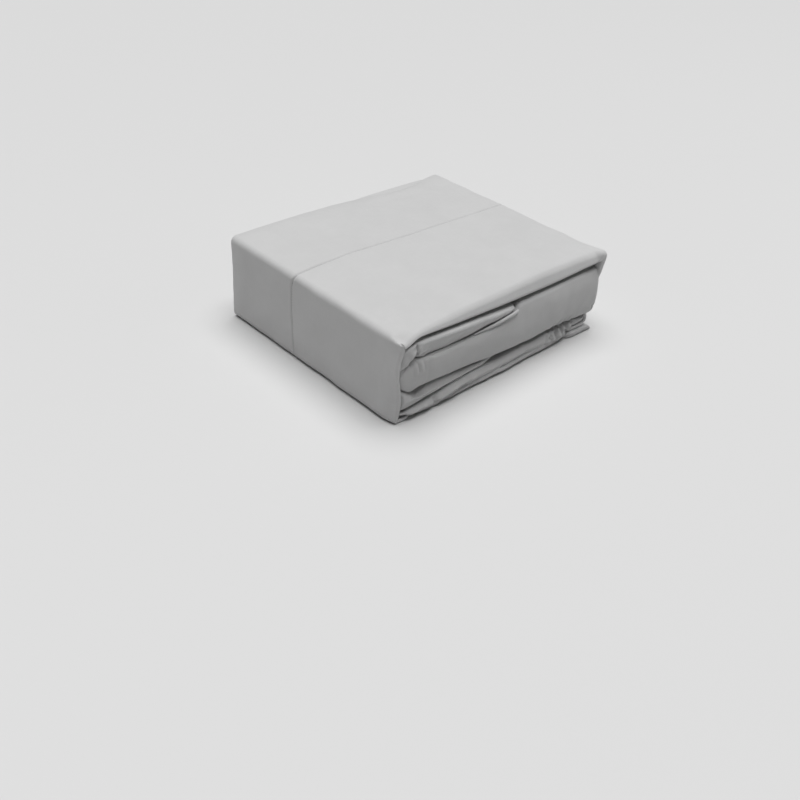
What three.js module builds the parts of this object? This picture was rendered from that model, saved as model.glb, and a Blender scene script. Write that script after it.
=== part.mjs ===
// A folded packet of bed linen, in millimetres, +Z up. It lies on the floor with its long side along X.
// The folded flat sheet is wrapped round the bundle like a sleeve that is open at both Y ends. Inside it
// lie a doubled-over sheet, a folded pillowcase on its left half, and the fitted sheet underneath.
// The origin is the middle of the packet on the floor.
import * as THREE from "three";

// Driving dimensions
const LENGTH = 282; // X, across the two side walls of the wrap
const DEPTH = 240; // Y, the width of the folded wrap, front fold to back hem
const HEIGHT = 90; // Z, floor to the highest point of the top
const CROWN = 1; // fall of the top from its middle to its long edges, and again to its short ones
const AIR = 0.6; // air between two pieces where they lie on each other
const ARC_DIVISIONS = 2; // each bend has twice as many straight steps
const TIGHTEST = 0.49; // radius of the tightest bend, as a share of the room it has
const TOP_ROOM = 1.1; // share of a top bend's radius that the base bend below it leaves free
const BEND_REACH = 5; // how far a soft bend comes forward at most, however tall it is
const HANG_RUN = 4; // distance over which cloth drops from its ply to a bend that hangs

// The wrap: two doubled-over pairs of plies, thin where it is pulled tight, thick along the top
const WALL_PACK = 4.6; // floor, left wall and its corners
const TOP_PACK = [[-119, 5], [-73, 8.5], [-31, 10], [8, 12], [55, 15.5], [100, 14.5], [122, 12]]; // by x
const RIGHT_PACK = [[14, WALL_PACK], [45, 5.6], [75, 7.5], [88, 11]]; // by height
const WRAP_PAIRS = 2;
const WRAP_PLY_SHARE = 0.8; // share of the pitch that is cloth, the rest being air
const WRAP_ROUNDS = { lowLeft: 9, topLeft: 7, topRight: 14, lowRight: 10 };
const WRAP_BACK = DEPTH / 2 - 3.6; // where the plies' turns at the back begin
const WALL_WAIST = 0.8; // how far each wall is drawn in at mid-height
// How far the front fold lies behind the packet's front. The floor runs from the left corner to the free
// end under the right wall, and the tail from its tucked-in end to the right corner.
const FLOOR_SETBACK = [[-132, 8], [-118, 9], [-104, 16], [99, 16], [105, 3], [140, 0.4]]; // by x
const TAIL_SETBACK = [[62, 17], [101, 16], [107, 4], [131, 5]]; // by x
const LEFT_SETBACK = [[9, 5], [22, 0]]; // by height
const RIGHT_SETBACK = [[5.5, 5], [14, 10], [45, 7]]; // by height

// Heights of the rests between the pieces, each as [x, z] from left to right
const MAIN_BASE = [[-134, 36], [-126, 32], [-115, 29.5], [-82, 29.5], [-48, 26], [-19, 22], [20, 19],
  [66, 22.5], [133, 21]];
const MAIN_TOP = [[-134, 61.5], [-115, 63], [-82, 61], [-48, 60.5], [-19, 62], [11, 64], [20, 70.5],
  [133, 71.5]];
const CASE_TOP = [[-134, 77.5], [-115, 80], [-82, 78.5], [-48, 77], [-19, 75], [11, 72.5]];
const LOWER_BASE = [[-134, 7], [-120, WALL_PACK], [44, WALL_PACK], [57, 10], [133, 10]];
const LOWER_PARTING = [[-134, 14], [-104, 14.8], [-76, 19], [-48, 19.5], [-19, 16], [20, 15], [44, 15],
  [66, 18.5], [133, 17.5]];
const BAND_LOW = [[-134, 12], [-120, 6.6], [-104, 2.2], [44, 1.6], [94, 4], [100, 20]];

/** The value at a place on a list of [place, value] pairs, straight from one to the next. */
function along(table, place) {
  const next = table.findIndex(([stop]) => stop >= place);
  if (next === 0) return table[0][1];
  if (next < 0) return table[table.length - 1][1];
  const [before, low] = table[next - 1];
  const [after, high] = table[next];
  return THREE.MathUtils.mapLinear(place, before, after, low, high);
}

/** Unit normals of a polyline, each square to the mean direction of the two steps that meet there. */
function normalsOf(points) {
  return points.map((point, i) => {
    const before = point.clone().sub(points[Math.max(i - 1, 0)]).normalize();
    const after = points[Math.min(i + 1, points.length - 1)].clone().sub(point).normalize();
    const direction = before.add(after).normalize();
    return new THREE.Vector2(-direction.y, direction.x);
  });
}

/** Centre line (y, z) of cloth that is laid back and forth and then doubled over towards the front. Each
 *  fold lies inside the last one, so only the outermost shows at the front, and neighbouring folds join
 *  in turn at the back, at the base and at the top. */
function doubledOver({ front, back, low, high, pairs, thickness, topRound, baseRound, crown = 0 }) {
  const pitch = (high - low - thickness) / (2 * pairs - 1);
  const tightest = TIGHTEST * pitch;
  const path = new THREE.Path();
  path.moveTo(back, high - thickness / 2);
  path.lineTo((front + back) / 2, high - thickness / 2 + crown);
  for (let fold = 0; fold < pairs; fold += 1) {
    const inset = thickness / 2 + fold * pitch;
    const room = high - low - 2 * inset;
    const most = TIGHTEST * room;
    const top = THREE.MathUtils.clamp(topRound - inset, tightest, most);
    const base = THREE.MathUtils.clamp(baseRound - inset, tightest, Math.max(most, room - TOP_ROOM * top));
    const topArc = [front + inset + top, high - inset - top, top];
    const baseArc = [front + inset + base, low + inset + base, base];
    const down = fold % 2 === 0;
    if (down) {
      path.absarc(...topArc, Math.PI / 2, Math.PI, false);
      path.absarc(...baseArc, Math.PI, 1.5 * Math.PI, false);
    } else {
      path.absarc(...baseArc, 1.5 * Math.PI, Math.PI, true);
      path.absarc(...topArc, Math.PI, Math.PI / 2, true);
    }
    if (fold === pairs - 1) {
      path.lineTo(back, down ? low + inset : high - inset);
    } else if (down) {
      path.absarc(back, low + inset + pitch / 2, pitch / 2, -Math.PI / 2, Math.PI / 2, false);
    } else {
      path.absarc(back, high - inset - pitch / 2, pitch / 2, Math.PI / 2, -Math.PI / 2, true);
    }
  }
  return path.getPoints(ARC_DIVISIONS);
}

/** Centre line (y, z) of cloth that goes back and forth over itself. levels are the heights of its plies
 *  from the base up. Each pair of them shows at the front as one soft bend, { front, low }, which hangs
 *  down to low where that is under its own plies. */
function zigzag({ bends, back, levels }) {
  const path = new THREE.Path();
  path.moveTo(back, levels[0]);
  for (let ply = 0; ply < levels.length - 1; ply += 1) {
    const top = levels[ply + 1];
    if (ply % 2 === 0) {
      const { front, low } = bends[ply / 2];
      const half = (top - Math.min(low, levels[ply])) / 2;
      const reach = Math.min(half, BEND_REACH);
      path.lineTo(front + reach + HANG_RUN, levels[ply]);
      path.absellipse(front + reach, top - half, reach, half, 1.5 * Math.PI, 0.5 * Math.PI, true);
    } else {
      const half = (top - levels[ply]) / 2;
      path.absellipse(back, top - half, half, half, -0.5 * Math.PI, 0.5 * Math.PI, false);
    }
  }
  path.lineTo(back, levels[levels.length - 1]);
  return path.getPoints(ARC_DIVISIONS);
}

/** Cloth made from a flat strip. The strip is a box with one cell for each step of the fold and one for
 *  each span between stations, and every corner moves to its place in the fold. Each station is a list of
 *  { point, across }, where across reaches from the cloth's middle to its outer face. */
function foldedCloth(name, stations, material) {
  const steps = stations[0].length - 1;
  const spans = stations.length - 1;
  const geometry = new THREE.BoxGeometry(steps, spans, 1, steps, spans, 1);
  const corners = geometry.attributes.position;
  for (let i = 0; i < corners.count; i += 1) {
    const step = Math.round(corners.getX(i) + steps / 2);
    const span = Math.round(corners.getY(i) + spans / 2);
    const { point, across } = stations[span][step];
    const place = point.clone().addScaledVector(across, Math.sign(corners.getZ(i)));
    corners.setXYZ(i, place.x, place.y, place.z);
  }
  geometry.computeVertexNormals();
  const mesh = new THREE.Mesh(geometry, material);
  mesh.name = name;
  return mesh;
}

/** One station of cloth whose fold lies square to X: the centre line (y, z) set at x. */
function stationAt(x, line, thickness) {
  const normals = normalsOf(line);
  return line.map((at, i) => ({
    point: new THREE.Vector3(x, at.x, at.y),
    across: new THREE.Vector3(0, normals[i].x, normals[i].y).multiplyScalar(-thickness / 2),
  }));
}

/** Washed cotton: matt, with the grey of the cloth. */
function cotton(grey) {
  return new THREE.MeshStandardMaterial({ color: grey, roughness: 0.92, metalness: 0 });
}

// The wrap's outer line round the bundle (x, z): from its free end on the floor to the left, up the left
// wall, over the top, down the right wall and back in over the free end.
function wrapLine() {
  const side = LENGTH / 2;
  const { lowLeft, topLeft, topRight, lowRight } = WRAP_ROUNDS;
  const tailHeight = WALL_PACK + AIR;
  const edgeHeight = HEIGHT - 2 * CROWN;
  const [freeEnd, ...floor] = FLOOR_SETBACK.slice(1).map(([x]) => x).reverse();
  const tail = TAIL_SETBACK.slice(0, -1).map(([x]) => x).reverse();
  const line = new THREE.Path();
  line.moveTo(freeEnd, 0);
  floor.forEach((x) => line.lineTo(x, 0));
  line.absarc(-side + lowLeft, lowLeft, lowLeft, -Math.PI / 2, -Math.PI, true);
  line.lineTo(-side + WALL_WAIST, HEIGHT / 2);
  line.absarc(-side + topLeft, edgeHeight - topLeft, topLeft, Math.PI, Math.PI / 2, true);
  TOP_PACK.forEach(([x]) => line.lineTo(x, HEIGHT - CROWN * (1 + (x / side) ** 2)));
  line.absarc(side - topRight, edgeHeight - topRight, topRight, Math.PI / 2, 0, true);
  line.lineTo(side - WALL_WAIST, HEIGHT / 2);
  line.absarc(side - lowRight, tailHeight + lowRight, lowRight, 0, -Math.PI / 2, true);
  tail.forEach((x) => line.lineTo(x, tailHeight));
  return line.getPoints(ARC_DIVISIONS);
}

/** The wrap's thickness at a point of its outer line. */
function packAt({ x, y: z }) {
  if (x > 125 && z > WALL_PACK) return along(RIGHT_PACK, z);
  if (z > HEIGHT - 3 * CROWN) return along([[-134, WALL_PACK], ...TOP_PACK], x);
  return WALL_PACK;
}

/** How far the wrap's front fold lies behind the packet's front at a point of its outer line. */
function setbackAt({ x, y: z }) {
  if (z < 1) return along(FLOOR_SETBACK, x);
  if (x < 0 || z > HEIGHT / 2 + 1) return along(LEFT_SETBACK, z);
  return z < WALL_PACK + 2 * AIR ? along(TAIL_SETBACK, x) : along(RIGHT_SETBACK, z);
}

/** How much higher the middle of the wrap's outer ply is than its two edges. */
function crownAt({ y: z }) {
  return z > HEIGHT - 3 * CROWN ? CROWN : 0;
}

// The flat sheet, folded to a strip with its wide hem along the back and wrapped round the bundle
function outerSheet() {
  const line = wrapLine();
  const outwards = normalsOf(line);
  const stations = line.map((at, i) => {
    const pack = packAt(at);
    const thickness = (WRAP_PLY_SHARE * pack) / (2 * WRAP_PAIRS - 1 + WRAP_PLY_SHARE);
    const fold = doubledOver({
      front: -DEPTH / 2 + setbackAt(at),
      back: WRAP_BACK,
      low: -pack,
      high: 0,
      pairs: WRAP_PAIRS,
      thickness,
      topRound: pack / 2,
      baseRound: pack / 2,
      crown: crownAt(at),
    });
    const normals = normalsOf(fold);
    const out = new THREE.Vector3(outwards[i].x, 0, outwards[i].y);
    return fold.map((ply, step) => ({
      point: new THREE.Vector3(at.x, ply.x, at.y).addScaledVector(out, ply.y),
      across: new THREE.Vector3(0, normals[step].x, 0)
        .addScaledVector(out, normals[step].y)
        .multiplyScalar(-thickness / 2),
    }));
  });
  return foldedCloth("outer_sheet", stations, cotton(0xc4c4c4));
}

// The second sheet: the fat, doubled-over fold that fills most of the sleeve's open front
function innerSheet() {
  const thickness = 1.8;
  const xs = [-134, -126, -115, -82, -48, -19, 11, 20, 66, 133];
  const fronts = [[-134, -110], [-126, -116], [-115, -118.5], [-48, -119.5], [66, -119.5], [133, -117.5]];
  const stations = xs.map((x) =>
    stationAt(
      x,
      doubledOver({
        front: along(fronts, x),
        back: 108,
        low: along(MAIN_BASE, x) + AIR / 2,
        high: along(MAIN_TOP, x) - AIR / 2,
        pairs: 6,
        thickness,
        topRound: 8,
        baseRound: 15,
      }),
      thickness,
    ),
  );
  return foldedCloth("inner_sheet", stations, cotton(0xc0c0c0));
}

// The pillowcase: a thin fold on the left half of the second sheet, tapering to a round end
function pillowcase() {
  const thickness = 1.5;
  const xs = [-134, -115, -82, -48, -19, 4, 11];
  const fronts = [[-134, -109], [-115, -118], [-48, -119], [4, -117], [11, -111]];
  const stations = xs.map((x) =>
    stationAt(
      x,
      doubledOver({
        front: along(fronts, x),
        back: 64,
        low: along(MAIN_TOP, x) + AIR / 2,
        high: along(CASE_TOP, x),
        pairs: 2,
        thickness,
        topRound: 7,
        baseRound: 4,
      }),
      thickness,
    ),
  );
  return foldedCloth("pillowcase", stations, cotton(0xc2c2c2));
}

// The fitted sheet: loose, uneven folds under the bundle. Its middle bend is a tall band that hangs down in
// front of the wrap's floor, and the bend above it draws back to the right.
function fittedSheet() {
  const thickness = 1.2;
  const hiddenPitch = 1.9; // spacing of the plies behind the band, where there is room
  const parted = 0.8; // how far the plies on either side of the parting lie from it
  const xs = [-134, -120, -104, -76, -48, -19, 20, 44, 57, 66, 94, 100, 133];
  const lowFronts = [[-134, -100], [94, -96], [100, -112], [133, -111]];
  const bandFronts = [[-134, -109], [-104, -118], [-48, -119.5], [44, -118.5], [94, -116.5], [133, -112]];
  const highFronts = [[-134, -108], [-120, -114], [-76, -117.5], [-19, -115], [4, -112], [133, -110]];
  const stations = xs.map((x) => {
    const lowest = along(LOWER_BASE, x) + AIR + thickness / 2;
    const parting = along(LOWER_PARTING, x);
    const highest = along(MAIN_BASE, Math.max(x, -115)) - AIR - thickness / 2;
    const pitch = Math.min(hiddenPitch, (parting - parted - lowest) / 3);
    const levels = [lowest, lowest + pitch, lowest + 2 * pitch, parting - parted, parting + parted, highest];
    const bends = [
      { front: along(lowFronts, x), low: lowest },
      { front: along(bandFronts, x), low: along(BAND_LOW, x) },
      { front: along(highFronts, x), low: parting + parted },
    ];
    return stationAt(x, zigzag({ bends, back: 106, levels }), thickness);
  });
  return foldedCloth("fitted_sheet", stations, cotton(0xbebebe));
}

const packet = new THREE.Group();
packet.name = "bed_linen_packet";
packet.add(outerSheet(), innerSheet(), pillowcase(), fittedSheet());

export default packet;
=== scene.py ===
import math

import bpy
import numpy as np
from mathutils import Matrix, Vector


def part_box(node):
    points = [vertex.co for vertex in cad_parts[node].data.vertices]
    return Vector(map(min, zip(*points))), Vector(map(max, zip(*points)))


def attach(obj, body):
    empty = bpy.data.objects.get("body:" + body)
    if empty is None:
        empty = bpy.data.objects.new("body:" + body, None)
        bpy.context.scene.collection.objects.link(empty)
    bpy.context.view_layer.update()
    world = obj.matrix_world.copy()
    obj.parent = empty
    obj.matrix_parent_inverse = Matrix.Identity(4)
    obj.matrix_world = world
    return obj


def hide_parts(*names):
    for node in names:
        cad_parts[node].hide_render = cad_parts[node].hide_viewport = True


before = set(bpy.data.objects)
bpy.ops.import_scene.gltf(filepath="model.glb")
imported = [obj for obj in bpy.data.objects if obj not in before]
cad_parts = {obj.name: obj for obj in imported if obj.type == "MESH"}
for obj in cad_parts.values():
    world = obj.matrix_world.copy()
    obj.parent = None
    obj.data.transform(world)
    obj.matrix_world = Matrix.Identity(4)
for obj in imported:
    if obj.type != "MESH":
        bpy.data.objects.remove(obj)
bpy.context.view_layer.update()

# ---------------------------------------------------------------------------------------------------
# Fitted sheet: the loosest piece of the set, folded first and laid at the bottom of the bundle. Soft
# cotton percale, back and forth in six plies, its gathered elastic edge puckering the right-hand part.
# ---------------------------------------------------------------------------------------------------
MM = 0.001  # shapes are worked out in millimetres and made metres as the mesh is built
BUNDLE_LEFT, BUNDLE_RIGHT = -135.2, 134.2
# Stations along the bundle, closest where the cloth is lobed or gathered
bundle_x = np.concatenate([
    np.arange(BUNDLE_LEFT, -98, 0.95), np.arange(-98, 60, 2.5), np.arange(60, 112, 1.1),
    np.arange(112, 127, 2), np.linspace(128, BUNDLE_RIGHT, 11)])


def eased(table, at, ease=5.0):
    """A line drawn through (place, value) pairs and eased at its corners: the straight-line value
    averaged over a bell of that half-width, cut off at one and a half widths."""
    places, values = np.array(table, float).T
    offsets = np.linspace(-1.5, 1.5, 13)
    weights = np.exp(-(offsets**2))
    spread = [w * np.interp(at + ease * d, places, values) for w, d in zip(weights, offsets)]
    return sum(spread) / weights.sum()


def rise(value, start, end):
    """0 before start and 1 after end, with the smooth step 3t^2 - 2t^3 between them."""
    t = np.clip((value - start) / (end - start), 0, 1)
    return t * t * (3 - 2 * t)


def bend(y, z, reach, half, start, sweep, points):
    """Part of an ellipse about (y, z) for each station: cosine times reach, sine times half height,
    from the start angle through the sweep."""
    angle = start + sweep * np.linspace(0, 1, points)
    y, z, reach, half = np.broadcast_arrays(*(np.atleast_1d(v)[:, None] for v in (y, z, reach, half)))
    return np.stack([y + reach * np.cos(angle), z + half * np.sin(angle)], axis=-1)


def loosened(grid, seed):
    """The backs of the folds made uneven: each ply in or out by a wave of its own, the stack up or
    down by a wave that all of its plies share."""
    x, y, z = np.moveaxis(grid, -1, 0)
    behind = rise(y, 60, 104)
    grid[..., 1] = y + behind * (rumple(x, 5 * z, 70, 2.6, seed) - 1.5)
    grid[..., 2] = z + behind * rumple(x, y, 90, 0.6, 40)
    return grid


def spot(y, z):
    """One point (y, z) of the fold for each station."""
    return np.stack(np.broadcast_arrays(*np.atleast_1d(y, z)), -1)[:, None]


def strung(bends, runs):
    """Bends joined by straight runs: between two bends the points go evenly from the end of the one
    to the start of the next. runs holds how many points each gap gets."""
    stations = max(len(b) for b in bends)
    bends = [np.broadcast_to(b, (stations, *b.shape[1:])) for b in bends]
    line = [bends[0]]
    for before, after, points in zip(bends, bends[1:], runs):
        t = np.linspace(0, 1, points + 2)[1:-1, None]
        line += [before[:, -1:] * (1 - t) + after[:, :1] * t, after]
    return np.concatenate(line, axis=1)


def along_x(x, line):
    """A grid of points from one fold line (y, z) for each x."""
    return np.stack([np.broadcast_to(x[:, None], line.shape[:2]), line[..., 0], line[..., 1]], -1)


def ridges(u, v, rows):
    """Soft creases at listed places. Each row is (u0, v0, u1, v1, width, height): a ridge along that
    line, or a trough if height is negative, with a bell-shaped section of that half-width."""
    total = np.zeros(np.broadcast(u, v).shape)
    for u0, v0, u1, v1, width, height in rows:
        du, dv = u1 - u0, v1 - v0
        share = np.clip(((u - u0) * du + (v - v0) * dv) / max(du * du + dv * dv, 1e-9), 0, 1)
        off = np.hypot(u - u0 - share * du, v - v0 - share * dv)
        total += height * np.exp(-((off / width) ** 2))
    return total


def rumple(u, v, size, height, seed):
    """Slight unevenness: a sum of plane waves of random heading and phase, of about that size from
    crest to crest, divided by its usual height and scaled to the one given."""
    waves, usual_height = 10, 3.2
    rng = np.random.default_rng(seed)
    total = 0
    for _ in range(waves):
        heading, phase = rng.uniform(0, 2 * math.pi, 2)
        step = 2 * math.pi / (size * rng.uniform(0.7, 1.6))
        total = total + np.sin(step * (u * math.cos(heading) + v * math.sin(heading)) + phase)
    return height * total / usual_height


def crossways(grid):
    """Unit normals of a grid of points: the mean direction of the two steps that meet along the fold,
    crossed with the direction from station to station."""
    step = np.diff(grid, axis=1)
    step /= np.maximum(np.linalg.norm(step, axis=-1, keepdims=True), 1e-9)
    fold = np.concatenate([step[:, :1], step[:, :-1] + step[:, 1:], step[:, -1:]], axis=1)
    normal = np.cross(fold, np.gradient(grid, axis=0))
    return normal / np.maximum(np.linalg.norm(normal, axis=-1, keepdims=True), 1e-9)


def rimmed(grid, half):
    """The grid with three more points close inside each end of every fold line and every row, and the
    half thickness brought down there on a quarter circle, so that the cut edges come out round."""
    steps, blunt = (0.1, 0.35, 0.75), 0.2
    for axis in (0, 1):
        grid, half = np.swapaxes(grid, 0, axis), np.swapaxes(half, 0, axis)
        for _ in range(2):
            edge, inner, span = grid[0], grid[1], np.linalg.norm(grid[1] - grid[0], axis=-1)
            radius = np.minimum(half[0], 0.9 * span)
            inward = (inner - edge) * (radius / np.maximum(span, 1e-9))[..., None]
            added = [edge + s * inward for s in steps]
            thin = [half[0] * math.sqrt(1 - (1 - s) ** 2) for s in steps]
            grid = np.concatenate([[edge], added, grid[1:]])[::-1]
            half = np.concatenate([[blunt * half[0]], thin, half[1:]])[::-1]
        grid, half = np.swapaxes(grid, 0, axis), np.swapaxes(half, 0, axis)
    return grid, half


def cloth_piece(name, grid, thickness):
    """Closed cloth from a grid of points in its middle, (stations, points, 3) in millimetres. Each
    face is the grid moved half a thickness along its normals, and four rims join the faces. The UV
    map holds metres of cloth: along the fold and along the stations."""
    half = np.broadcast_to(np.asarray(thickness, float) / 2, grid.shape[:2])
    cut = (float(np.linalg.norm(np.diff(grid, axis=1), axis=-1).sum(1).mean() * MM),
           float(np.linalg.norm(np.diff(grid, axis=0), axis=-1).sum(0).mean() * MM))
    grid, half = rimmed(grid, half)
    across = crossways(grid) * half[..., None]
    stations, points = grid.shape[:2]
    count = stations * points
    places = np.concatenate([(grid + across).reshape(-1, 3), (grid - across).reshape(-1, 3)]) * MM
    index = np.arange(count).reshape(stations, points)
    a, b, c, d = index[:-1, :-1], index[1:, :-1], index[1:, 1:], index[:-1, 1:]
    face = np.stack([a, d, c, b], -1).reshape(-1, 4)
    around = np.concatenate([index[0, :-1], index[:-1, -1], index[-1, :0:-1], index[:0:-1, 0]])
    after = np.roll(around, -1)
    rim = np.stack([after, around, around + count, after + count], -1)
    quads = np.concatenate([face, face[:, ::-1] + count, rim])

    # A negative volume between the faces and the origin means that they point inwards
    corners = places[quads]
    volume = np.einsum("ij,ij->i", corners[:, 0], np.cross(corners[:, 1], corners[:, 2])).sum()
    volume += np.einsum("ij,ij->i", corners[:, 0], np.cross(corners[:, 2], corners[:, 3])).sum()
    if volume < 0:
        quads = quads[:, ::-1]

    along_fold = np.linalg.norm(np.diff(grid, axis=1), axis=-1).mean(0).cumsum() * MM
    along_rows = np.linalg.norm(np.diff(grid, axis=0), axis=-1).mean(1).cumsum() * MM
    u = np.broadcast_to(np.append(0, along_fold), (stations, points)).reshape(-1)
    v = np.repeat(np.append(0, along_rows), points)
    uv = np.tile(np.stack([u, v], -1), (2, 1))[quads.reshape(-1)]

    mesh = bpy.data.meshes.new(name)
    mesh.from_pydata(places, [], quads.tolist())
    mesh.uv_layers.new(name="cloth").data.foreach_set("uv", uv.reshape(-1))
    mesh.polygons.foreach_set("use_smooth", np.ones(len(quads), bool))
    mesh.update()
    piece = bpy.data.objects.new(name, mesh)
    bpy.context.collection.objects.link(piece)
    return piece, cut


# Heights of the rests between the pieces, as (x, z) along the packet's front
FLOOR_PACK = 4.6
MAIN_BASE = [(-136, 36.5), (-127, 32.6), (-118, 28.5), (-110, 29.6), (-82, 29.8), (-48, 26),
             (-19, 22), (20, 19), (40, 19), (66, 22.5), (106, 21), (128, 20), (136, 18.5)]
LOWER_BASE = [(-136, 6.4), (-120, FLOOR_PACK), (44, FLOOR_PACK), (57, 10.2), (136, 10.2)]
LOWER_PARTING = [(-136, 11.5), (-131, 10.5), (-120, 11), (-99, 12.5), (-87, 14), (-76, 16.5),
                 (-57, 18), (-35, 17.6), (-17, 16), (0, 15.8), (20, 15.8), (44, 15.8), (66, 18.6),
                 (106, 17.4), (120, 15.5), (136, 13.4)]
BAND_LOW = [(-136, 9), (-126, 8), (-118, 4.5), (-110, 1.8), (-100, 1.2), (89, 1.2), (97, 6.5),
            (103, 9.4), (112, 10.6), (136, 10.4)]
FRONT_DROOP = 2.6  # how much lower the folds' fronts hang than the rests behind them
FITTED_THICKNESS = 1.0
FITTED_AIR = 0.7  # between the fitted sheet and the pieces above and below it
FITTED_BACK, FITTED_HIDDEN = 106.0, -100.0  # where its plies turn at the back, and unseen at the front


def fitted_grid():
    """Six plies laid back and forth. The lowest bend stays hidden, the middle one comes forward and
    down over the wrap's floor as one tall crumpled band, and the top one is a band that tapers off to
    the right and dips beside the wall."""
    x = bundle_x
    pitch, parted = 1.3, 0.85  # spacing of the low plies, and half the spacing at the parting
    lowest = eased(LOWER_BASE, x) + FITTED_AIR + FITTED_THICKNESS / 2
    parting, floor_line = eased(LOWER_PARTING, x, 3), eased(BAND_LOW, x, 3)
    highest = np.maximum(eased(MAIN_BASE, x, 3) - FITTED_AIR - FITTED_THICKNESS / 2, parting + 1.9)
    ply = [lowest, lowest + pitch, lowest + 2 * pitch, parting - parted, parting + parted, highest]
    band_front = eased([(-136, -113), (-132, -117), (-124, -118.6), (-99, -119.3), (44, -118.6),
                        (96, -118.2), (104, -116), (128, -114.5), (136, -109)], x, 3)
    upper_front = eased([(-136, -114), (-133, -117.5), (-128, -118.8), (-112, -118.8),
                         (-60, -118.5), (-25, -115), (-5, -109), (120, -108), (136, -106)], x, 3)
    band_half, top_half = (ply[3] - floor_line) / 2, (ply[5] - ply[4]) / 2
    band_reach, top_reach = np.minimum(0.8 * band_half, 3.8), np.minimum(top_half, 6.5)
    band_middle, top_middle = (ply[3] + floor_line) / 2, (ply[4] + ply[5]) / 2
    foot, forward, backward = -math.pi / 2, -math.pi, math.pi
    line = strung([
        spot(FITTED_BACK, ply[0]),
        bend(FITTED_HIDDEN, (ply[0] + ply[1]) / 2, pitch / 2, (ply[1] - ply[0]) / 2, foot, forward, 5),
        bend(FITTED_BACK, (ply[1] + ply[2]) / 2, pitch / 2, (ply[2] - ply[1]) / 2, foot, backward, 5),
        spot(FITTED_HIDDEN - 1, ply[2]),
        bend(band_front + band_reach, band_middle, band_reach, band_half, foot, forward, 25),
        spot(FITTED_HIDDEN - 6, ply[3]),
        bend(FITTED_BACK, parting, parted, parted, foot, backward, 5),
        spot(FITTED_HIDDEN - 4, ply[4]),
        bend(upper_front + top_reach, top_middle, top_reach, top_half, foot, forward, 21),
        spot(FITTED_HIDDEN - 6, ply[5]),
        spot(FITTED_BACK, ply[5]),
    ], [10, 10, 10, 3, 3, 12, 12, 4, 4, 14])
    grid = along_x(x, line)

    x, y, z = np.moveaxis(grid, -1, 0)
    front = 1 - rise(y, -114, -102)
    upper = rise(z, 14, 18)
    droop = FRONT_DROOP * rise(x, -134, -124) + 4.0 * np.exp(-(((x + 111) / 8) ** 2))
    grid[..., 2] -= front * rise(z, 20, 26) * (1 - rise(x, -20, 20)) * droop
    grid[..., 2] += 1.5 * front * rise(z, 8, 13) * (1 - rise(z, 16.8, 17.6)) * rise(x, -8, 20)
    gathered = front * rise(x, 58, 68) * (1 - rise(x, 106, 116)) * rise(z, 4, 14)
    grid[..., 1] -= gathered * (rumple(x, 1.3 * z, 8, 1.7, 4) - 1.2)
    grid[..., 2] += gathered * rumple(x, z, 9, 0.9, 5)
    crumpled = front * (1 - rise(z, 20, 24))
    grid[..., 1] -= crumpled * ridges(x, z, [
        (-122, 6.5, -104, 8.5, 1.8, 1.5), (-104, 8.5, -95, 7.5, 2, 1.4), (-91, 5.5, -90, 10, 1.6, -2.6),
        (-86, 8, -65, 12, 1.9, 1.7), (-65, 12, -42, 12.5, 2.2, 1.2), (-42, 12.5, -15, 11.5, 2.6, 0.8),
        (-115, 3.5, -93, 3.8, 1.8, -1.2), (-84, 4.5, -50, 7.5, 1.9, -1.5), (-50, 7.5, 0, 8, 2.0, -1.2),
        (0, 8, 40, 9, 2.0, -1.2), (-70, 14.5, -50, 15.8, 1.3, -0.8), (-30, 4.5, 30, 4.2, 2, 0.9),
        (0, 8.5, 64, 8.3, 1.8, -0.9), (64, 8.3, 84, 3.5, 1.8, -1.0), (-70, 4, -20, 4.5, 3, 0.7),
        (5, 12.5, 60, 13, 3, 0.5), (101, 9, 103, 6, 1.4, -1.2), (-76, 12, -72, 13, 2, 0.8),
        (-58, 6.5, -54, 8, 1.8, -0.8), (108, 17.5, 110, 16, 1.6, -2.6),
        # The gathers: deep troughs with small crests between them
        (80, 13.5, 82.5, 19, 2.2, -6.5), (88, 12.5, 89.5, 19, 2.0, -6.5),
        (96, 12, 97.5, 18.5, 2.2, -6.5), (85, 10, 86, 17, 1.7, 1.5),
        (92.5, 9, 93.5, 17, 1.8, 1.8), (102.5, 10, 103, 16, 1.8, 1.2),
        (70, 13, 73, 18, 1.7, -1.8), (76, 9, 78, 16, 2, 1.0),
        (74, 15, 76, 20, 2, 0.9), (99.5, 11, 100.5, 14, 1.3, -1.6)])
    grid[..., 1] -= front * upper * ridges(x, z, [
        (-132.6, 14, -131.6, 27, 1.3, -3.6), (-129, 29.5, -121, 28.5, 1.6, 1.2),
        (-124, 26, -90, 21, 4, 0.7), (-98, 24, -60, 23, 2.2, -0.5), (-128, 18, -118, 20, 2.5, -0.7)])
    grid[..., 1] -= front * (rumple(x, z, 34, 0.45, 6) + rumple(x, z, 13, 0.16, 8))
    return loosened(grid, 7)


fitted_sheet, fitted_cut = cloth_piece("fitted_sheet_cloth", fitted_grid(), FITTED_THICKNESS)
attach(fitted_sheet, "root")
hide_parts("fitted_sheet")


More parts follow.
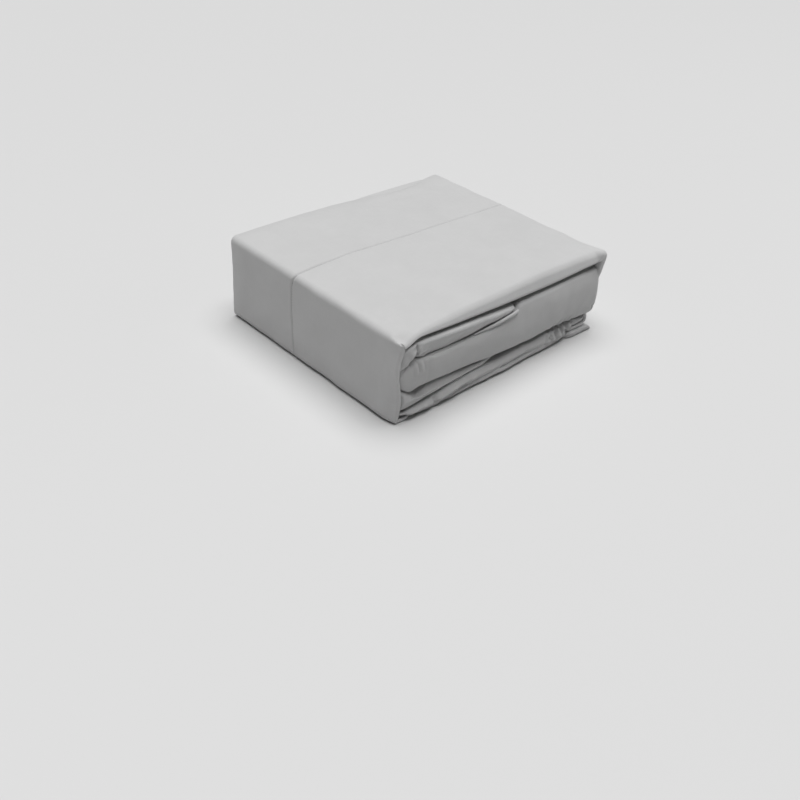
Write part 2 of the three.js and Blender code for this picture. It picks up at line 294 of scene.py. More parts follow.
def woven_cotton():
    """Shader group of plain-weave cotton. UV metres times the thread count give two sines at right
    angles, swapped in a checker so that warp and weft pass over and under. Slubs are noise stretched
    along each thread, and Lint is the broad cloudiness of washed cloth."""
    group = bpy.data.node_groups.new("woven_cotton", "ShaderNodeTree")
    for label, kind, way in (
        ("Cloth", "NodeSocketVector", "INPUT"),
        ("Place", "NodeSocketVector", "INPUT"),
        ("Threads", "NodeSocketFloat", "INPUT"),
        ("Height", "NodeSocketFloat", "OUTPUT"),
        ("Slubs", "NodeSocketFloat", "OUTPUT"),
        ("Lint", "NodeSocketFloat", "OUTPUT"),
    ):
        group.interface.new_socket(name=label, in_out=way, socket_type=kind)
    nodes, links = group.nodes, group.links
    source, sink = nodes.new("NodeGroupInput"), nodes.new("NodeGroupOutput")

    def math_node(operation, first, second=None):
        node = nodes.new("ShaderNodeMath")
        node.operation = operation
        for socket, value in zip(node.inputs, (first, second)):
            if isinstance(value, (int, float)):
                socket.default_value = value
            elif value is not None:
                links.new(value, socket)
        return node.outputs[0]

    def slub_noise(stretch):
        mapping = nodes.new("ShaderNodeMapping")
        mapping.inputs["Scale"].default_value = stretch
        links.new(source.outputs["Cloth"], mapping.inputs["Vector"])
        noise = nodes.new("ShaderNodeTexNoise")
        noise.inputs["Scale"].default_value = 1.0
        noise.inputs["Detail"].default_value = 2.0
        links.new(mapping.outputs[0], noise.inputs["Vector"])
        return noise.outputs["Fac"]

    split = nodes.new("ShaderNodeSeparateXYZ")
    links.new(source.outputs["Cloth"], split.inputs[0])
    turns = math_node("MULTIPLY", source.outputs["Threads"], math.pi)
    warp = math_node("SINE", math_node("MULTIPLY", split.outputs["X"], turns))
    weft = math_node("SINE", math_node("MULTIPLY", split.outputs["Y"], turns))
    over = math_node("MULTIPLY", warp, weft)
    warp_slubs, weft_slubs = slub_noise((1700, 60, 1)), slub_noise((60, 1700, 1))
    slubs = math_node("MULTIPLY", math_node("ADD", warp_slubs, weft_slubs), 0.5)
    links.new(math_node("ADD", math_node("MULTIPLY", over, 0.5), slubs), sink.inputs["Height"])
    links.new(slubs, sink.inputs["Slubs"])

    lint = nodes.new("ShaderNodeTexNoise")
    lint.inputs["Scale"].default_value = 26.0
    lint.inputs["Detail"].default_value = 5.0
    lint.inputs["Roughness"].default_value = 0.6
    links.new(source.outputs["Place"], lint.inputs["Vector"])
    links.new(lint.outputs["Fac"], sink.inputs["Lint"])
    return group


WOVEN = woven_cotton()


def cotton_finish(name, shade, thread_pitch):
    """Washed cotton of one shade of grey: slubs and lint vary the colour a little, the weave and the
    slubs give the bump, and a faint sheen softens grazing light."""
    material = bpy.data.materials.new(name)
    material.use_nodes = True
    nodes, links = material.node_tree.nodes, material.node_tree.links
    shader = nodes["Principled BSDF"]
    shader.inputs["Sheen Weight"].default_value = 0.25
    shader.inputs["Sheen Roughness"].default_value = 0.6
    shader.inputs["Specular IOR Level"].default_value = 0.25
    weave = nodes.new("ShaderNodeGroup")
    weave.node_tree = WOVEN
    weave.inputs["Threads"].default_value = 1 / thread_pitch
    cloth, place = nodes.new("ShaderNodeUVMap"), nodes.new("ShaderNodeTexCoord")
    cloth.uv_map = "cloth"
    links.new(cloth.outputs["UV"], weave.inputs["Cloth"])
    links.new(place.outputs["Object"], weave.inputs["Place"])

    def tinted(mask, low, high, dark, light):
        ramp = nodes.new("ShaderNodeMapRange")
        limits = {"From Min": low, "From Max": high, "To Min": dark, "To Max": light}
        for socket, value in limits.items():
            ramp.inputs[socket].default_value = value
        links.new(weave.outputs[mask], ramp.inputs["Value"])
        return ramp.outputs[0]

    product = nodes.new("ShaderNodeMath")
    product.operation = "MULTIPLY"
    links.new(tinted("Slubs", 0.3, 0.7, 0.965, 1.02), product.inputs[0])
    links.new(tinted("Lint", 0.3, 0.7, 0.975, 1.02), product.inputs[1])
    colour = nodes.new("ShaderNodeVectorMath")
    colour.operation = "SCALE"
    colour.inputs[0].default_value = shade
    links.new(product.outputs[0], colour.inputs["Scale"])
    links.new(colour.outputs[0], shader.inputs["Base Color"])
    links.new(tinted("Lint", 0.3, 0.7, 0.86, 0.96), shader.inputs["Roughness"])
    bump = nodes.new("ShaderNodeBump")
    bump.inputs["Strength"].default_value = 0.35
    bump.inputs["Distance"].default_value = thread_pitch / 3
    links.new(weave.outputs["Height"], bump.inputs["Height"])
    links.new(bump.outputs[0], shader.inputs["Normal"])
    return material


THREAD_PITCH = 0.0006
inner_cotton = cotton_finish("inner_cotton", (0.47, 0.47, 0.47), THREAD_PITCH)
fitted_sheet.data.materials.append(inner_cotton)

# ---------------------------------------------------------------------------------------------------
# Second sheet: sixteen plies laid back and forth and doubled over towards the front, so that one fat
# smooth fold fills most of the open front. It lies on the fitted sheet.
# ---------------------------------------------------------------------------------------------------
MAIN_TOP = [(-136, 57), (-131, 60), (-115, 62.5), (-82, 61), (-48, 60.5), (-19, 62), (8, 64),
            (18, 70.5), (136, 71.5)]
LOBE_BASE = [(-137, 47), (-136, 44), (-133.5, 38.5), (-128, 31.5), (-123, 27.5), (-118.4, 24.4),
             (-110, 27.4), (-96, 27.4), (-82, 26.6), (-48, 23.2), (-19, 19.8), (20, 17.4),
             (40, 17.4), (66, 20.4), (106, 19.4), (128, 18.6), (136, 18)]
LOBE_TOP = [(-137, 48), (-135.5, 50), (-133.5, 52.5), (-131, 56), (-126, 59.8), (-121.5, 62.8),
            (-115, 61.4), (-100, 59.4), (-82, 58.4), (-48, 58.6), (-19, 60.6), (8, 63.6), (18, 70),
            (136, 71.2)]
MAIN_FOLDS, MAIN_BACK = 8, 107.0
FACE_CROWN, FACE_MIDDLE = 3.8, 44  # how far the front falls back 26 mm above and below its middle
REST_GAP = 0.3  # from a rest to the cloth on either side of it
BEND_POINTS, FRONT_POINTS, SHOULDER_POINTS = 11, 18, 4  # points along the outermost fold's parts


def doubled_over(columns, front, back, low, high, folds, thickness, top, base, runs):
    """Cloth laid back and forth and then doubled over: each fold is an elliptic corner at the top, a
    straight front and an elliptic corner at the base, one pitch inside the fold before it, and half
    circles join neighbouring folds at the back, at the base and at the top in turn. The outermost ply
    has a point at each of the y columns. top and base are the corners' (reach, half height)."""
    pitch = (high - low - thickness) / (2 * folds - 1)
    tightest, clear = 0.49, 1.02  # shares: a bend's radius of its room, and what a top bend keeps free
    bends, gaps = [spot(columns[0], high - thickness / 2)], [0]
    for fold in range(folds):
        inset = thickness / 2 + fold * pitch
        room = high - low - 2 * inset
        least = tightest * pitch
        top_reach, base_reach = np.maximum(top[0] - inset, least), np.maximum(base[0] - inset, least)
        top_half = np.minimum(np.maximum(top[1] - inset, least), tightest * room)
        base_half = np.minimum(np.maximum(base[1] - inset, least), room - clear * top_half)
        points = BEND_POINTS if fold == 0 else 4
        upper = (front + inset + top_reach, high - inset - top_half, top_reach, top_half)
        lower = (front + inset + base_reach, low + inset + base_half, base_reach, base_half)
        quarter = math.pi / 2
        if fold % 2 == 0:
            first = bend(*upper, quarter, quarter, points)
            second = bend(*lower, math.pi, quarter, points)
            turn = bend(back, low + inset + pitch / 2, pitch / 2, pitch / 2, -quarter, math.pi, 5)
        else:
            first = bend(*lower, 3 * quarter, -quarter, points)
            second = bend(*upper, math.pi, -quarter, points)
            turn = bend(back, high - inset - pitch / 2, pitch / 2, pitch / 2, quarter, -math.pi, 5)
        if fold == 0:
            level = (high - inset)[:, None]
            bends.append(np.stack(np.broadcast_arrays(columns[1:], level), -1))
            gaps.append(SHOULDER_POINTS)
        bends += [first, second]
        gaps += [FRONT_POINTS if fold == 0 else 2, runs]
        if fold < folds - 1:
            bends.append(turn)
            gaps.append(runs)
    bends.append(spot(back, low + inset if fold % 2 == 0 else high - inset))
    return strung(bends, gaps)


def pressed_down(x):
    """1 along the stretch where the pillowcase presses the second sheet into a soft valley, eased to 0
    past its ends."""
    return rise(x, -118, -106) * (1 - rise(x, -66, -40))


def outer_share(columns, points):
    """1 for the points of the outermost fold, falling to 0 within the next few points."""
    last = len(columns) + SHOULDER_POINTS + 2 * BEND_POINTS + FRONT_POINTS
    return 1 - rise(np.arange(points), last, last + 3)


def inner_grid():
    """The doubled-over fold between its rests. The left end of its outermost ply closes to a rounded
    lobe, with the plies behind peeping out, and its front is creased along listed lines."""
    x = bundle_x
    low, high = eased(MAIN_BASE, x, 3) + REST_GAP, eased(MAIN_TOP, x, 3) - REST_GAP
    front = eased([(-137, -113), (-134.5, -117), (-131, -118.8), (-115, -119.8), (-48, -120.4),
                   (66, -121.2), (131, -120.6), (134.5, -118.6)], x, 1.5)
    thickness = np.minimum(1.5, 0.8 * (high - low) / (2 * MAIN_FOLDS))
    right_part = rise(x, 4, 22)
    columns = np.linspace(100, -92, 22)
    pressed = pressed_down(x)
    top = (3.2 - 0.2 * right_part - 1.8 * pressed, 9 - 5.6 * right_part - 5.5 * pressed)
    base = (4.6 + 4 * rise(x, -80, 0) - 3 * rise(x, 60, 110),
            14 + 3 * rise(x, -80, 0) - 8 * rise(x, 114, 131))
    line = doubled_over(columns, front, MAIN_BACK, low, high, MAIN_FOLDS, thickness, top, base, 5)
    grid = along_x(x, line)
    share = outer_share(columns, grid.shape[1])

    lobe_low, lobe_high = eased(LOBE_BASE, x, 1.5) + REST_GAP, eased(LOBE_TOP, x, 1.5) - REST_GAP
    squeeze = (lobe_high - lobe_low) / (high - low)
    lobed = lobe_low[:, None] + (grid[..., 2] - low[:, None]) * squeeze[:, None]
    at_front = share * (1 - rise(grid[..., 1], -112, -96))
    grid[..., 2] += at_front * (lobed - grid[..., 2])
    cloth = thickness[:, None] * (1 - at_front * (1 - np.clip(squeeze[:, None] * 1.6, 0.2, 1)))

    x, y, z = np.moveaxis(grid, -1, 0)
    face = share * (1 - rise(y, -117, -98))
    lean = np.interp(x, [-120, -40, 40, 130], [-0.07, -0.03, 0.04, 0.05])
    above = z - FACE_MIDDLE
    grid[..., 1] += (1 - rise(y, -110, -94)) * (FACE_CROWN * (above / 26) ** 2 + lean * above)
    grid[..., 1] -= face * ridges(x, z, [
        (-105, 61, -102, 38, 2.6, -0.45), (-98, 56, -94, 38, 4, 0.3),
        (-121, 60, -118, 49, 1.8, 1.1), (-117.5, 60, -115, 50, 1.3, -0.9),
        (-114.5, 60, -111, 48, 1.6, 0.9), (-110.5, 58, -108, 50, 1.2, -0.5),
        (-60, 34, 35, 27, 7, -0.9), (35, 27, 60, 40, 8, -0.5), (-95, 45, -20, 50, 9, 0.7),
        (45, 60, 120, 58, 9, 0.5), (100, 30, 125, 26, 4, -0.6), (20, 58, 26, 34, 6, -0.4),
        (60, 62, 66, 40, 7, 0.35), (88, 60, 84, 34, 6, -0.35),
        # The pinch below the pillowcase's lobe, and two dimples at the right end
        (-123, 59.5, -120.5, 60.5, 2.2, -4.5),
        (129.4, 31, 130.6, 26, 0.8, -3.6), (132, 31.5, 132.8, 27, 0.7, -3)])
    grid[..., 1] -= face * (rumple(x, z, 46, 0.3, 11) + rumple(x, z, 15, 0.1, 12))
    puckered = face * rise(x, 62, 72) * (1 - rise(x, 100, 112)) * (1 - rise(z, 25, 33))
    notches = 4.2 * sum(np.exp(-(((x - at) / 1.9) ** 2)) for at in (74, 82.5, 90, 98, 108))
    grid[..., 2] += puckered * (rumple(x, y, 9, 0.7, 13) + notches)
    grid[..., 0] += 3.0 * (1 - rise(y, -117, -108)) * rise(x, 120, 134)
    return loosened(grid, 17), cloth


inner_shape, inner_thickness = inner_grid()
inner_sheet, inner_cut = cloth_piece("inner_sheet_cloth", inner_shape, inner_thickness)
inner_sheet.data.materials.append(inner_cotton)
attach(inner_sheet, "root")
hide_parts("inner_sheet")

# ---------------------------------------------------------------------------------------------------
# Pillowcase: a thin fold laid on the left half of the second sheet. Its own narrow hem, rolled in and
# stitched, lies along its lower front edge and ends round where the fold ends.
# ---------------------------------------------------------------------------------------------------
CASE_TOP = [(-136, 75), (-133, 76.5), (-126, 78), (-115, 78), (-82, 76), (-48, 74), (-19, 72),
            (4, 70.4), (12, 68.8)]
CASE_END, CASE_BACK, CASE_FOLDS = 11.5, 62.0, 3
case_x = np.concatenate([
    np.arange(BUNDLE_LEFT, -104, 0.8), np.arange(-104, 4, 2.4), np.linspace(4, CASE_END, 9)])


def case_grid():
    """Six plies doubled over. The left end hangs down beside the wall as a rounded lobe, pinched to the
    second sheet in a chain of dimples, and the fold tapers to the right."""
    x = case_x
    low, high = eased(MAIN_TOP, x, 3) + REST_GAP, eased(CASE_TOP, x, 2)
    front = eased([(-137, -112), (-134.5, -117), (-131, -118.8), (-122, -118.9), (-48, -118.7),
                   (0, -118.6), (8, -117), (12, -111)], x, 1.5)
    thickness = np.minimum(1.4, 0.8 * (high - low) / (2 * CASE_FOLDS))
    columns = np.linspace(56, -92, 16)
    left_part, pressed = 1 - rise(x, -128, -112), pressed_down(x)
    top, base = (2.4, 2.8), (5.2 - 3.6 * pressed, 10 - 3 * left_part - 6 * pressed)
    line = doubled_over(columns, front, CASE_BACK, low, high, CASE_FOLDS, thickness, top, base, 8)
    grid = along_x(x, line)
    share = outer_share(columns, grid.shape[1])

    lobe_low = eased(LOBE_TOP[:-2] + [(12, 65)], x, 1.5) + REST_GAP
    squeeze = (high - lobe_low) / (high - low)
    lobed = high[:, None] + (grid[..., 2] - high[:, None]) * squeeze[:, None]
    at_front = share * (1 - rise(grid[..., 1], -112, -98))
    grid[..., 2] += at_front * (lobed - grid[..., 2])

    x, y, z = np.moveaxis(grid, -1, 0)
    face = share * (1 - rise(y, -117, -100))
    sloped = np.clip((high[:, None] - 3 - z) / 14, 0, 1)
    grid[..., 1] += face * (1.2 + 1.6 * pressed[:, None]) * sloped * rise(x, -116, -100)
    grid[..., 1] -= face * ridges(x, z, [
        # The chain of pinches between the lobe and the rest of the fold
        (-123.2, 61.8, -120.4, 63.6, 2.3, -7.5), (-122.6, 65.2, -121.2, 66, 1.7, -6),
        (-120, 67.6, -117.6, 68.2, 1.4, -4.6), (-119, 75.2, -118.2, 72.6, 1.2, -3.4),
        (-121.5, 64, -118, 75, 2.4, -1.2), (-116, 73, -115.4, 66, 1.5, 0.8),
        (-117, 63.5, -110, 65, 1.6, -1.2), (-124.5, 66, -122, 70, 1.6, 1.2),
        (-129, 60, -125, 70, 3.5, 1.1), (-112, 71, -60, 70.5, 5, 0.7), (-50, 69.5, 0, 69, 4.5, 0.5),
        (-118, 67.5, -106, 66, 1.4, -0.6), (-131, 72, -127, 64, 2, -0.4)])
    grid[..., 1] -= face * (rumple(x, z, 30, 0.3, 21) + rumple(x, z, 11, 0.12, 22))
    return loosened(grid, 27), thickness[:, None]


case_shape, case_thickness = case_grid()
pillowcase, case_cut = cloth_piece("pillowcase_cloth", case_shape, case_thickness)
pillowcase.data.materials.append(inner_cotton)


def hem_grid():
    """A narrow rolled hem: a flattened ring of cloth, open at the back, whose height and depth shrink
    on a quarter circle towards the round end and fade out to the left."""
    x = np.concatenate([np.linspace(-46, 6, 32), np.linspace(7, 12.2, 12)])
    round_end = np.sqrt(np.clip(1 - (np.clip(x - 9.4, 0, None) / 2.9) ** 2, 0.03, 1))
    size = round_end * (0.25 + 0.75 * rise(x, -46, -14))
    middle = eased([(-46, 59.8), (-19, 61.6), (12.5, 65.0)], x)
    front = eased([(-46, -118.6), (-20, -120.2), (8, -120.4), (12.5, -118.5)], x)
    ring = bend(front + 1.1, middle, 1.1 * size, 1.45 * size, 0.35 * math.pi, 1.3 * math.pi, 17)
    return along_x(x, ring)


case_hem, _ = cloth_piece("pillowcase_hem", hem_grid(), 0.7)
case_hem.data.materials.append(inner_cotton)
for piece in (pillowcase, case_hem):
    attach(piece, "root")
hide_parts("pillowcase")

# ---------------------------------------------------------------------------------------------------
# Flat sheet: folded to a strip of four plies with its wide hem along the back edge, and wrapped round
# the bundle from the floor over the left wall, the top and the right wall, the tail tucked in below.
# ---------------------------------------------------------------------------------------------------
wrap_low, wrap_high = (np.array(corner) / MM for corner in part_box("outer_sheet"))
SIDE, HEIGHT, FRONT = wrap_high[0], wrap_high[2], wrap_low[1]
CROWN = 1.0  # fall of the top from its middle to its long edges, and again to its short ones
ROUND_LOW_LEFT, ROUND_TOP_LEFT, ROUND_TOP_RIGHT, ROUND_LOW_RIGHT = 6.5, 6.0, 8.5, 10.0
FREE_END, TAIL_END = 140.0, 62.0  # x of the strip's two ends, the tail's being the upper one
TAIL_HEIGHT = FLOOR_PACK + 0.6
WRAP_FOLDS, WRAP_BACK, HEM_EDGE = 2, 116.4, 118.4
FLOOR, LEFT_WALL, TOP, RIGHT_WALL, TAIL = range(5)
SEAM = 20.0  # y of the points kept for the wide hem's stitches
seam_columns = SEAM + np.arange(2.4, -2.5, -0.4)
wrap_columns = np.concatenate([
    [118.0], np.linspace(103, 26, 24), seam_columns, np.linspace(14, -98, 36)])
SEAM_COLUMN = int(np.argmin(abs(wrap_columns - SEAM)))


def wrap_line():
    """The wrap's outer line (x, z) and what changes along it: the pack's thickness, how far its front
    fold is set back, and which stretch of the sleeve each station belongs to."""
    shoulder, quarter = HEIGHT - 2 * CROWN, math.pi / 2

    def run(start, end, points):
        t = np.linspace(0, 1, points + 2)[1:-1]
        return np.stack([start[0] + (end[0] - start[0]) * t, start[1] + (end[1] - start[1]) * t], -1)

    def corner(x, z, radius, start, points):
        angle = start - quarter * np.linspace(0, 1, points)
        return np.stack([x + radius * np.cos(angle), z + radius * np.sin(angle)], -1)

    low_left = corner(-SIDE + ROUND_LOW_LEFT, ROUND_LOW_LEFT, ROUND_LOW_LEFT, -quarter, 8)
    top_left = corner(-SIDE + ROUND_TOP_LEFT, shoulder - ROUND_TOP_LEFT, ROUND_TOP_LEFT, math.pi, 9)
    top_right = corner(SIDE - ROUND_TOP_RIGHT, shoulder - ROUND_TOP_RIGHT, ROUND_TOP_RIGHT, quarter, 11)
    low_right = corner(SIDE - ROUND_LOW_RIGHT, TAIL_HEIGHT + ROUND_LOW_RIGHT, ROUND_LOW_RIGHT, 0, 8)
    free_end, tail_end = np.array([[FREE_END, 0.0]]), np.array([[TAIL_END, TAIL_HEIGHT]])
    parts = [
        (free_end, FLOOR), (run(free_end[-1], low_left[0], 58), FLOOR), (low_left, LEFT_WALL),
        (run(low_left[-1], top_left[0], 30), LEFT_WALL), (top_left, LEFT_WALL),
        (run(top_left[-1], top_right[0], 88), TOP), (top_right, RIGHT_WALL),
        (run(top_right[-1], low_right[0], 20), RIGHT_WALL), (low_right, RIGHT_WALL),
        (run(low_right[-1], tail_end[0], 26), TAIL), (tail_end, TAIL),
    ]
    line = np.concatenate([points for points, _ in parts])
    stretch = np.concatenate([np.full(len(points), which) for points, which in parts])
    x, z = line.T
    top_pack = eased([(-136, FLOOR_PACK), (-119, 6), (-73, 10.5), (-31, 12.6), (8, 14.4),
                      (55, 15.3), (100, 14.3), (122, 12.5), (136, 11)], x)
    right_pack = np.interp(z, [14, 45, 75, 88], [FLOOR_PACK, 5.6, 7.5, 11])
    pack = np.choose(stretch, [FLOOR_PACK, FLOOR_PACK, top_pack, right_pack, FLOOR_PACK])
    # Set back by x along the floor, the top and the tail, and by height up the two walls
    setback = np.choose(stretch, [
        eased([(-132, 3), (-122, 2.4), (-114, 9), (-104, 16), (93, 16), (99, 5), (104, 1),
               (FREE_END, 0.4)], x, 1.5),
        np.interp(z, [0, 5, 12, 24, 50, 68, 84], [3, 2.6, 2.2, 1.6, 2.4, 2, 0]),
        eased([(-141, 0), (-128, 0.6), (-110, 2.4), (-10, 2.6), (14, 3), (112, 2.8), (128, 1.2),
               (141, 0.6)], x),
        np.interp(z, [6, 14, 45, 66, 90], [6, 10, 6.5, 1.5, 0.5]),
        eased([(TAIL_END, 17), (98, 16), (104, 4), (126, 3), (131, 6)], x, 1.5),
    ])
    return line, pack, setback, stretch


def outward(line):
    """Unit normals (x, z) of the outer line, square to the mean direction of the steps that meet."""
    step = np.diff(line, axis=0)
    step /= np.linalg.norm(step, axis=1, keepdims=True)
    mean = np.concatenate([step[:1], step[:-1] + step[1:], step[-1:]])
    mean /= np.linalg.norm(mean, axis=1, keepdims=True)
    return np.stack([-mean[:, 1], mean[:, 0]], -1)[:, None]


def wrap_relief(kind, x, y, z):
    """The outer face's creases, at listed places, and its slight unevenness: in (x, y) on the top and
    in (y, z) on the walls."""
    top = ridges(x, y, [
        (20, 96, 120, 92, 3, -0.5), (40, 84, 128, 78, 3, 0.4), (-20, 60, 60, 52, 9, 0.35),
        (-110, 30, -90, -80, 8, 0.3), (60, -60, 128, -70, 6, -0.4), (-60, -96, 30, -99, 5, -0.35),
        (-133, -70, -118, -110, 4, -0.5), (100, -104, 132, -96, 4, -0.6)])
    top = top + rumple(x, y, 64, 0.3, 31) + rumple(x, y, 21, 0.08, 32)
    left = ridges(y, z, [
        (109, 12, 107, 78, 3, -0.7), (100, 20, 99, 76, 3, 0.5), (-96, 14, -93, 76, 3.5, -0.5),
        (-108, 10, -109, 72, 2.5, 0.5), (60, 30, 52, 74, 7, 0.4), (-30, 12, -42, 60, 8, -0.4),
        (-113, 87.5, -121, 84.5, 1.3, -2.4)])
    left = left + rumple(y, z, 52, 0.35, 33) + rumple(y, z, 18, 0.1, 34)
    right = rumple(y, z, 48, 0.4, 35)
    return np.select([kind == TOP, kind == LEFT_WALL, kind == RIGHT_WALL], [top, left, right], 0.0)


def settled(grid, kind, by_floor, lowest):
    """The wrap as it comes to rest. The top is domed, sinks at its near left corner and flares at its
    near right one, and the left wall's front edge wanders. On the floor the fronts of the tail and the
    free end fan open, the free end is cut aslant, and no cloth lies below its lowest place."""
    x, y, z = grid[..., 0].copy(), grid[..., 1], grid[..., 2].copy()
    along, across = (x / SIDE) ** 2, (y / FRONT) ** 2
    dome = rise(z, HEIGHT - 24, HEIGHT - 6) * (1 - along + (1 - across) * (1 - along**4))
    grid[..., 2] += CROWN * np.clip(dome, 0, 2)
    sunk = rise(x, -139.5, -134.5) * (1 - rise(x, -134.5, -114))
    grid[..., 2] -= 5.2 * sunk * (1 - rise(y, -120, -105)) * rise(z, 62, 84)
    flared = rise(x, 118, 141) * (1 - rise(y, -120, -84)) * rise(z, 66, 84)
    grid[..., 0] += 3.4 * flared
    grid[..., 2] += 1.5 * flared
    edge = np.interp(z, [0, 10, 21, 35, 46, 55, 66, 73, 79, 84, 88],
                     [2.5, 4.2, 4.2, 2.6, 0.4, 0, 1, 2.4, 3.2, 1.2, 0])
    grid[..., 0] += edge * (1 - rise(y, -120, -101)) * (kind == LEFT_WALL)
    at_front = 1 - rise(y, -119, -108)
    tail_front = at_front * ((kind == TAIL) | ((kind == RIGHT_WALL) & by_floor))
    grid[..., 2] += tail_front * (2.2 - 0.42 * np.clip(grid[..., 2] - TAIL_HEIGHT, 0, FLOOR_PACK))
    end_front = at_front * (kind == FLOOR) * rise(x, 94, 104)
    grid[..., 2] *= 1 + 0.5 * end_front
    slanted = (kind == FLOOR) * rise(x, 118, FREE_END)
    grid[..., 0] -= slanted * (1.7 * z + 4.5 * rise(y, -104, 40) + rumple(x, y, 60, 0.8, 41))
    grid[..., 2] = np.maximum(grid[..., 2], lowest)


def wrap_grid():
    """The doubled-over section (y, depth) carried along the outer line, each point at its depth inside
    the line's normal. The back hem is drawn in on the top, with the ply below it showing, the front
    edge sinks to a soft shoulder, and the hem's seam is pressed in along a wandering line."""
    line, pack, setback, stretch = wrap_line()
    thickness = np.minimum(2.0, 0.8 * pack / 3.8)
    on_top = stretch == TOP
    top = (np.clip(0.5 * pack, 2.3, 5.5), np.clip(0.5 * pack, 2.3, 5))
    base = (0.42 * pack, 0.3 * pack)
    fold = doubled_over(
        wrap_columns, FRONT + setback, WRAP_BACK, -pack, 0.0, WRAP_FOLDS, thickness, top, base, 9)
    hem_line = eased([(-141, HEM_EDGE), (-60, 119), (-18, 118.6), (20, 114.5), (69, 106.5), (95, 108.5),
                      (112, 115), (126, 118), (141, HEM_EDGE)], line[:, 0])
    hem_edge = np.where(on_top, hem_line, HEM_EDGE)
    fold[:, 0, 0] = hem_edge

    y, depth = fold[..., 0], fold[..., 1]
    lip = on_top * rise(line[:, 0], -50, 0) * (1 - rise(line[:, 0], 112, 130))
    lip = lip[:, None] * rise(y, 76, 103)
    beyond_hem = rise((y - hem_edge[:, None]) / np.clip(117 - hem_edge[:, None], 1.5, 8), 0.1, 1)
    under_hem = (pack - thickness)[:, None] / 3 - 3.2 * (1 - beyond_hem)
    depth = depth + lip * under_hem * (depth < -thickness[:, None])
    cloth = thickness[:, None] * (1 - 0.4 * lip)

    x, z, kind = line[:, :1], line[:, 1:], stretch[:, None]
    is_wall = (kind == LEFT_WALL) | (kind == RIGHT_WALL)
    outermost = outer_share(wrap_columns, fold.shape[1]) * np.clip(1 + depth / pack[:, None], 0, 1)
    seam_on_left = np.interp(z, [0, 47, 77, 86], [0, 6, 5, 1])
    seam_on_top = np.interp(x, [-137, -73, 15, 132], [1, 3, -1, -3])
    seam_at = np.where(kind == LEFT_WALL, seam_on_left, np.where(kind == TOP, seam_on_top, -3))
    leaning = 0.4 * (depth + pack[:, None]) * (1 - rise(y, -118, -102)) * on_top[:, None]
    y_moved = y + leaning + outermost * seam_at * np.exp(-2 * ((y - SEAM) / 16) ** 2)
    groove, welts = np.exp(-(((y - SEAM) / 0.9) ** 2)), np.exp(-((abs(y - SEAM) - 2.2) ** 2))
    seam = -1.15 * outermost * groove + 0.4 * outermost * welts
    seam *= is_wall | (kind == TOP)
    shoulder = -1.4 * (1 - rise(y, -121, -96)) ** 2 * outermost * (kind == TOP)
    relief = wrap_relief(kind, x, y, z) * outermost
    drawn_in = -0.8 * np.sin(math.pi * np.clip(z / 82, 0, 1)) * is_wall
    moved = depth + seam + shoulder + relief + drawn_in
    out = outward(line)
    grid = np.stack([x + out[..., 0] * moved, y_moved, z + out[..., 1] * moved], -1)
    settled(grid, kind, z < 8, thickness[:, None] / 2)
    return grid, cloth, stretch


wrap_shape, wrap_thickness, wrap_stretch = wrap_grid()
outer_sheet, outer_cut = cloth_piece("outer_sheet_cloth", wrap_shape, wrap_thickness)
outer_cotton = cotton_finish("outer_cotton", (0.52, 0.52, 0.52), THREAD_PITCH)
outer_sheet.data.materials.append(outer_cotton)

STITCH_PITCH, STITCH_LENGTH, STITCH_RADIUS = 3.0, 2.3, 0.3


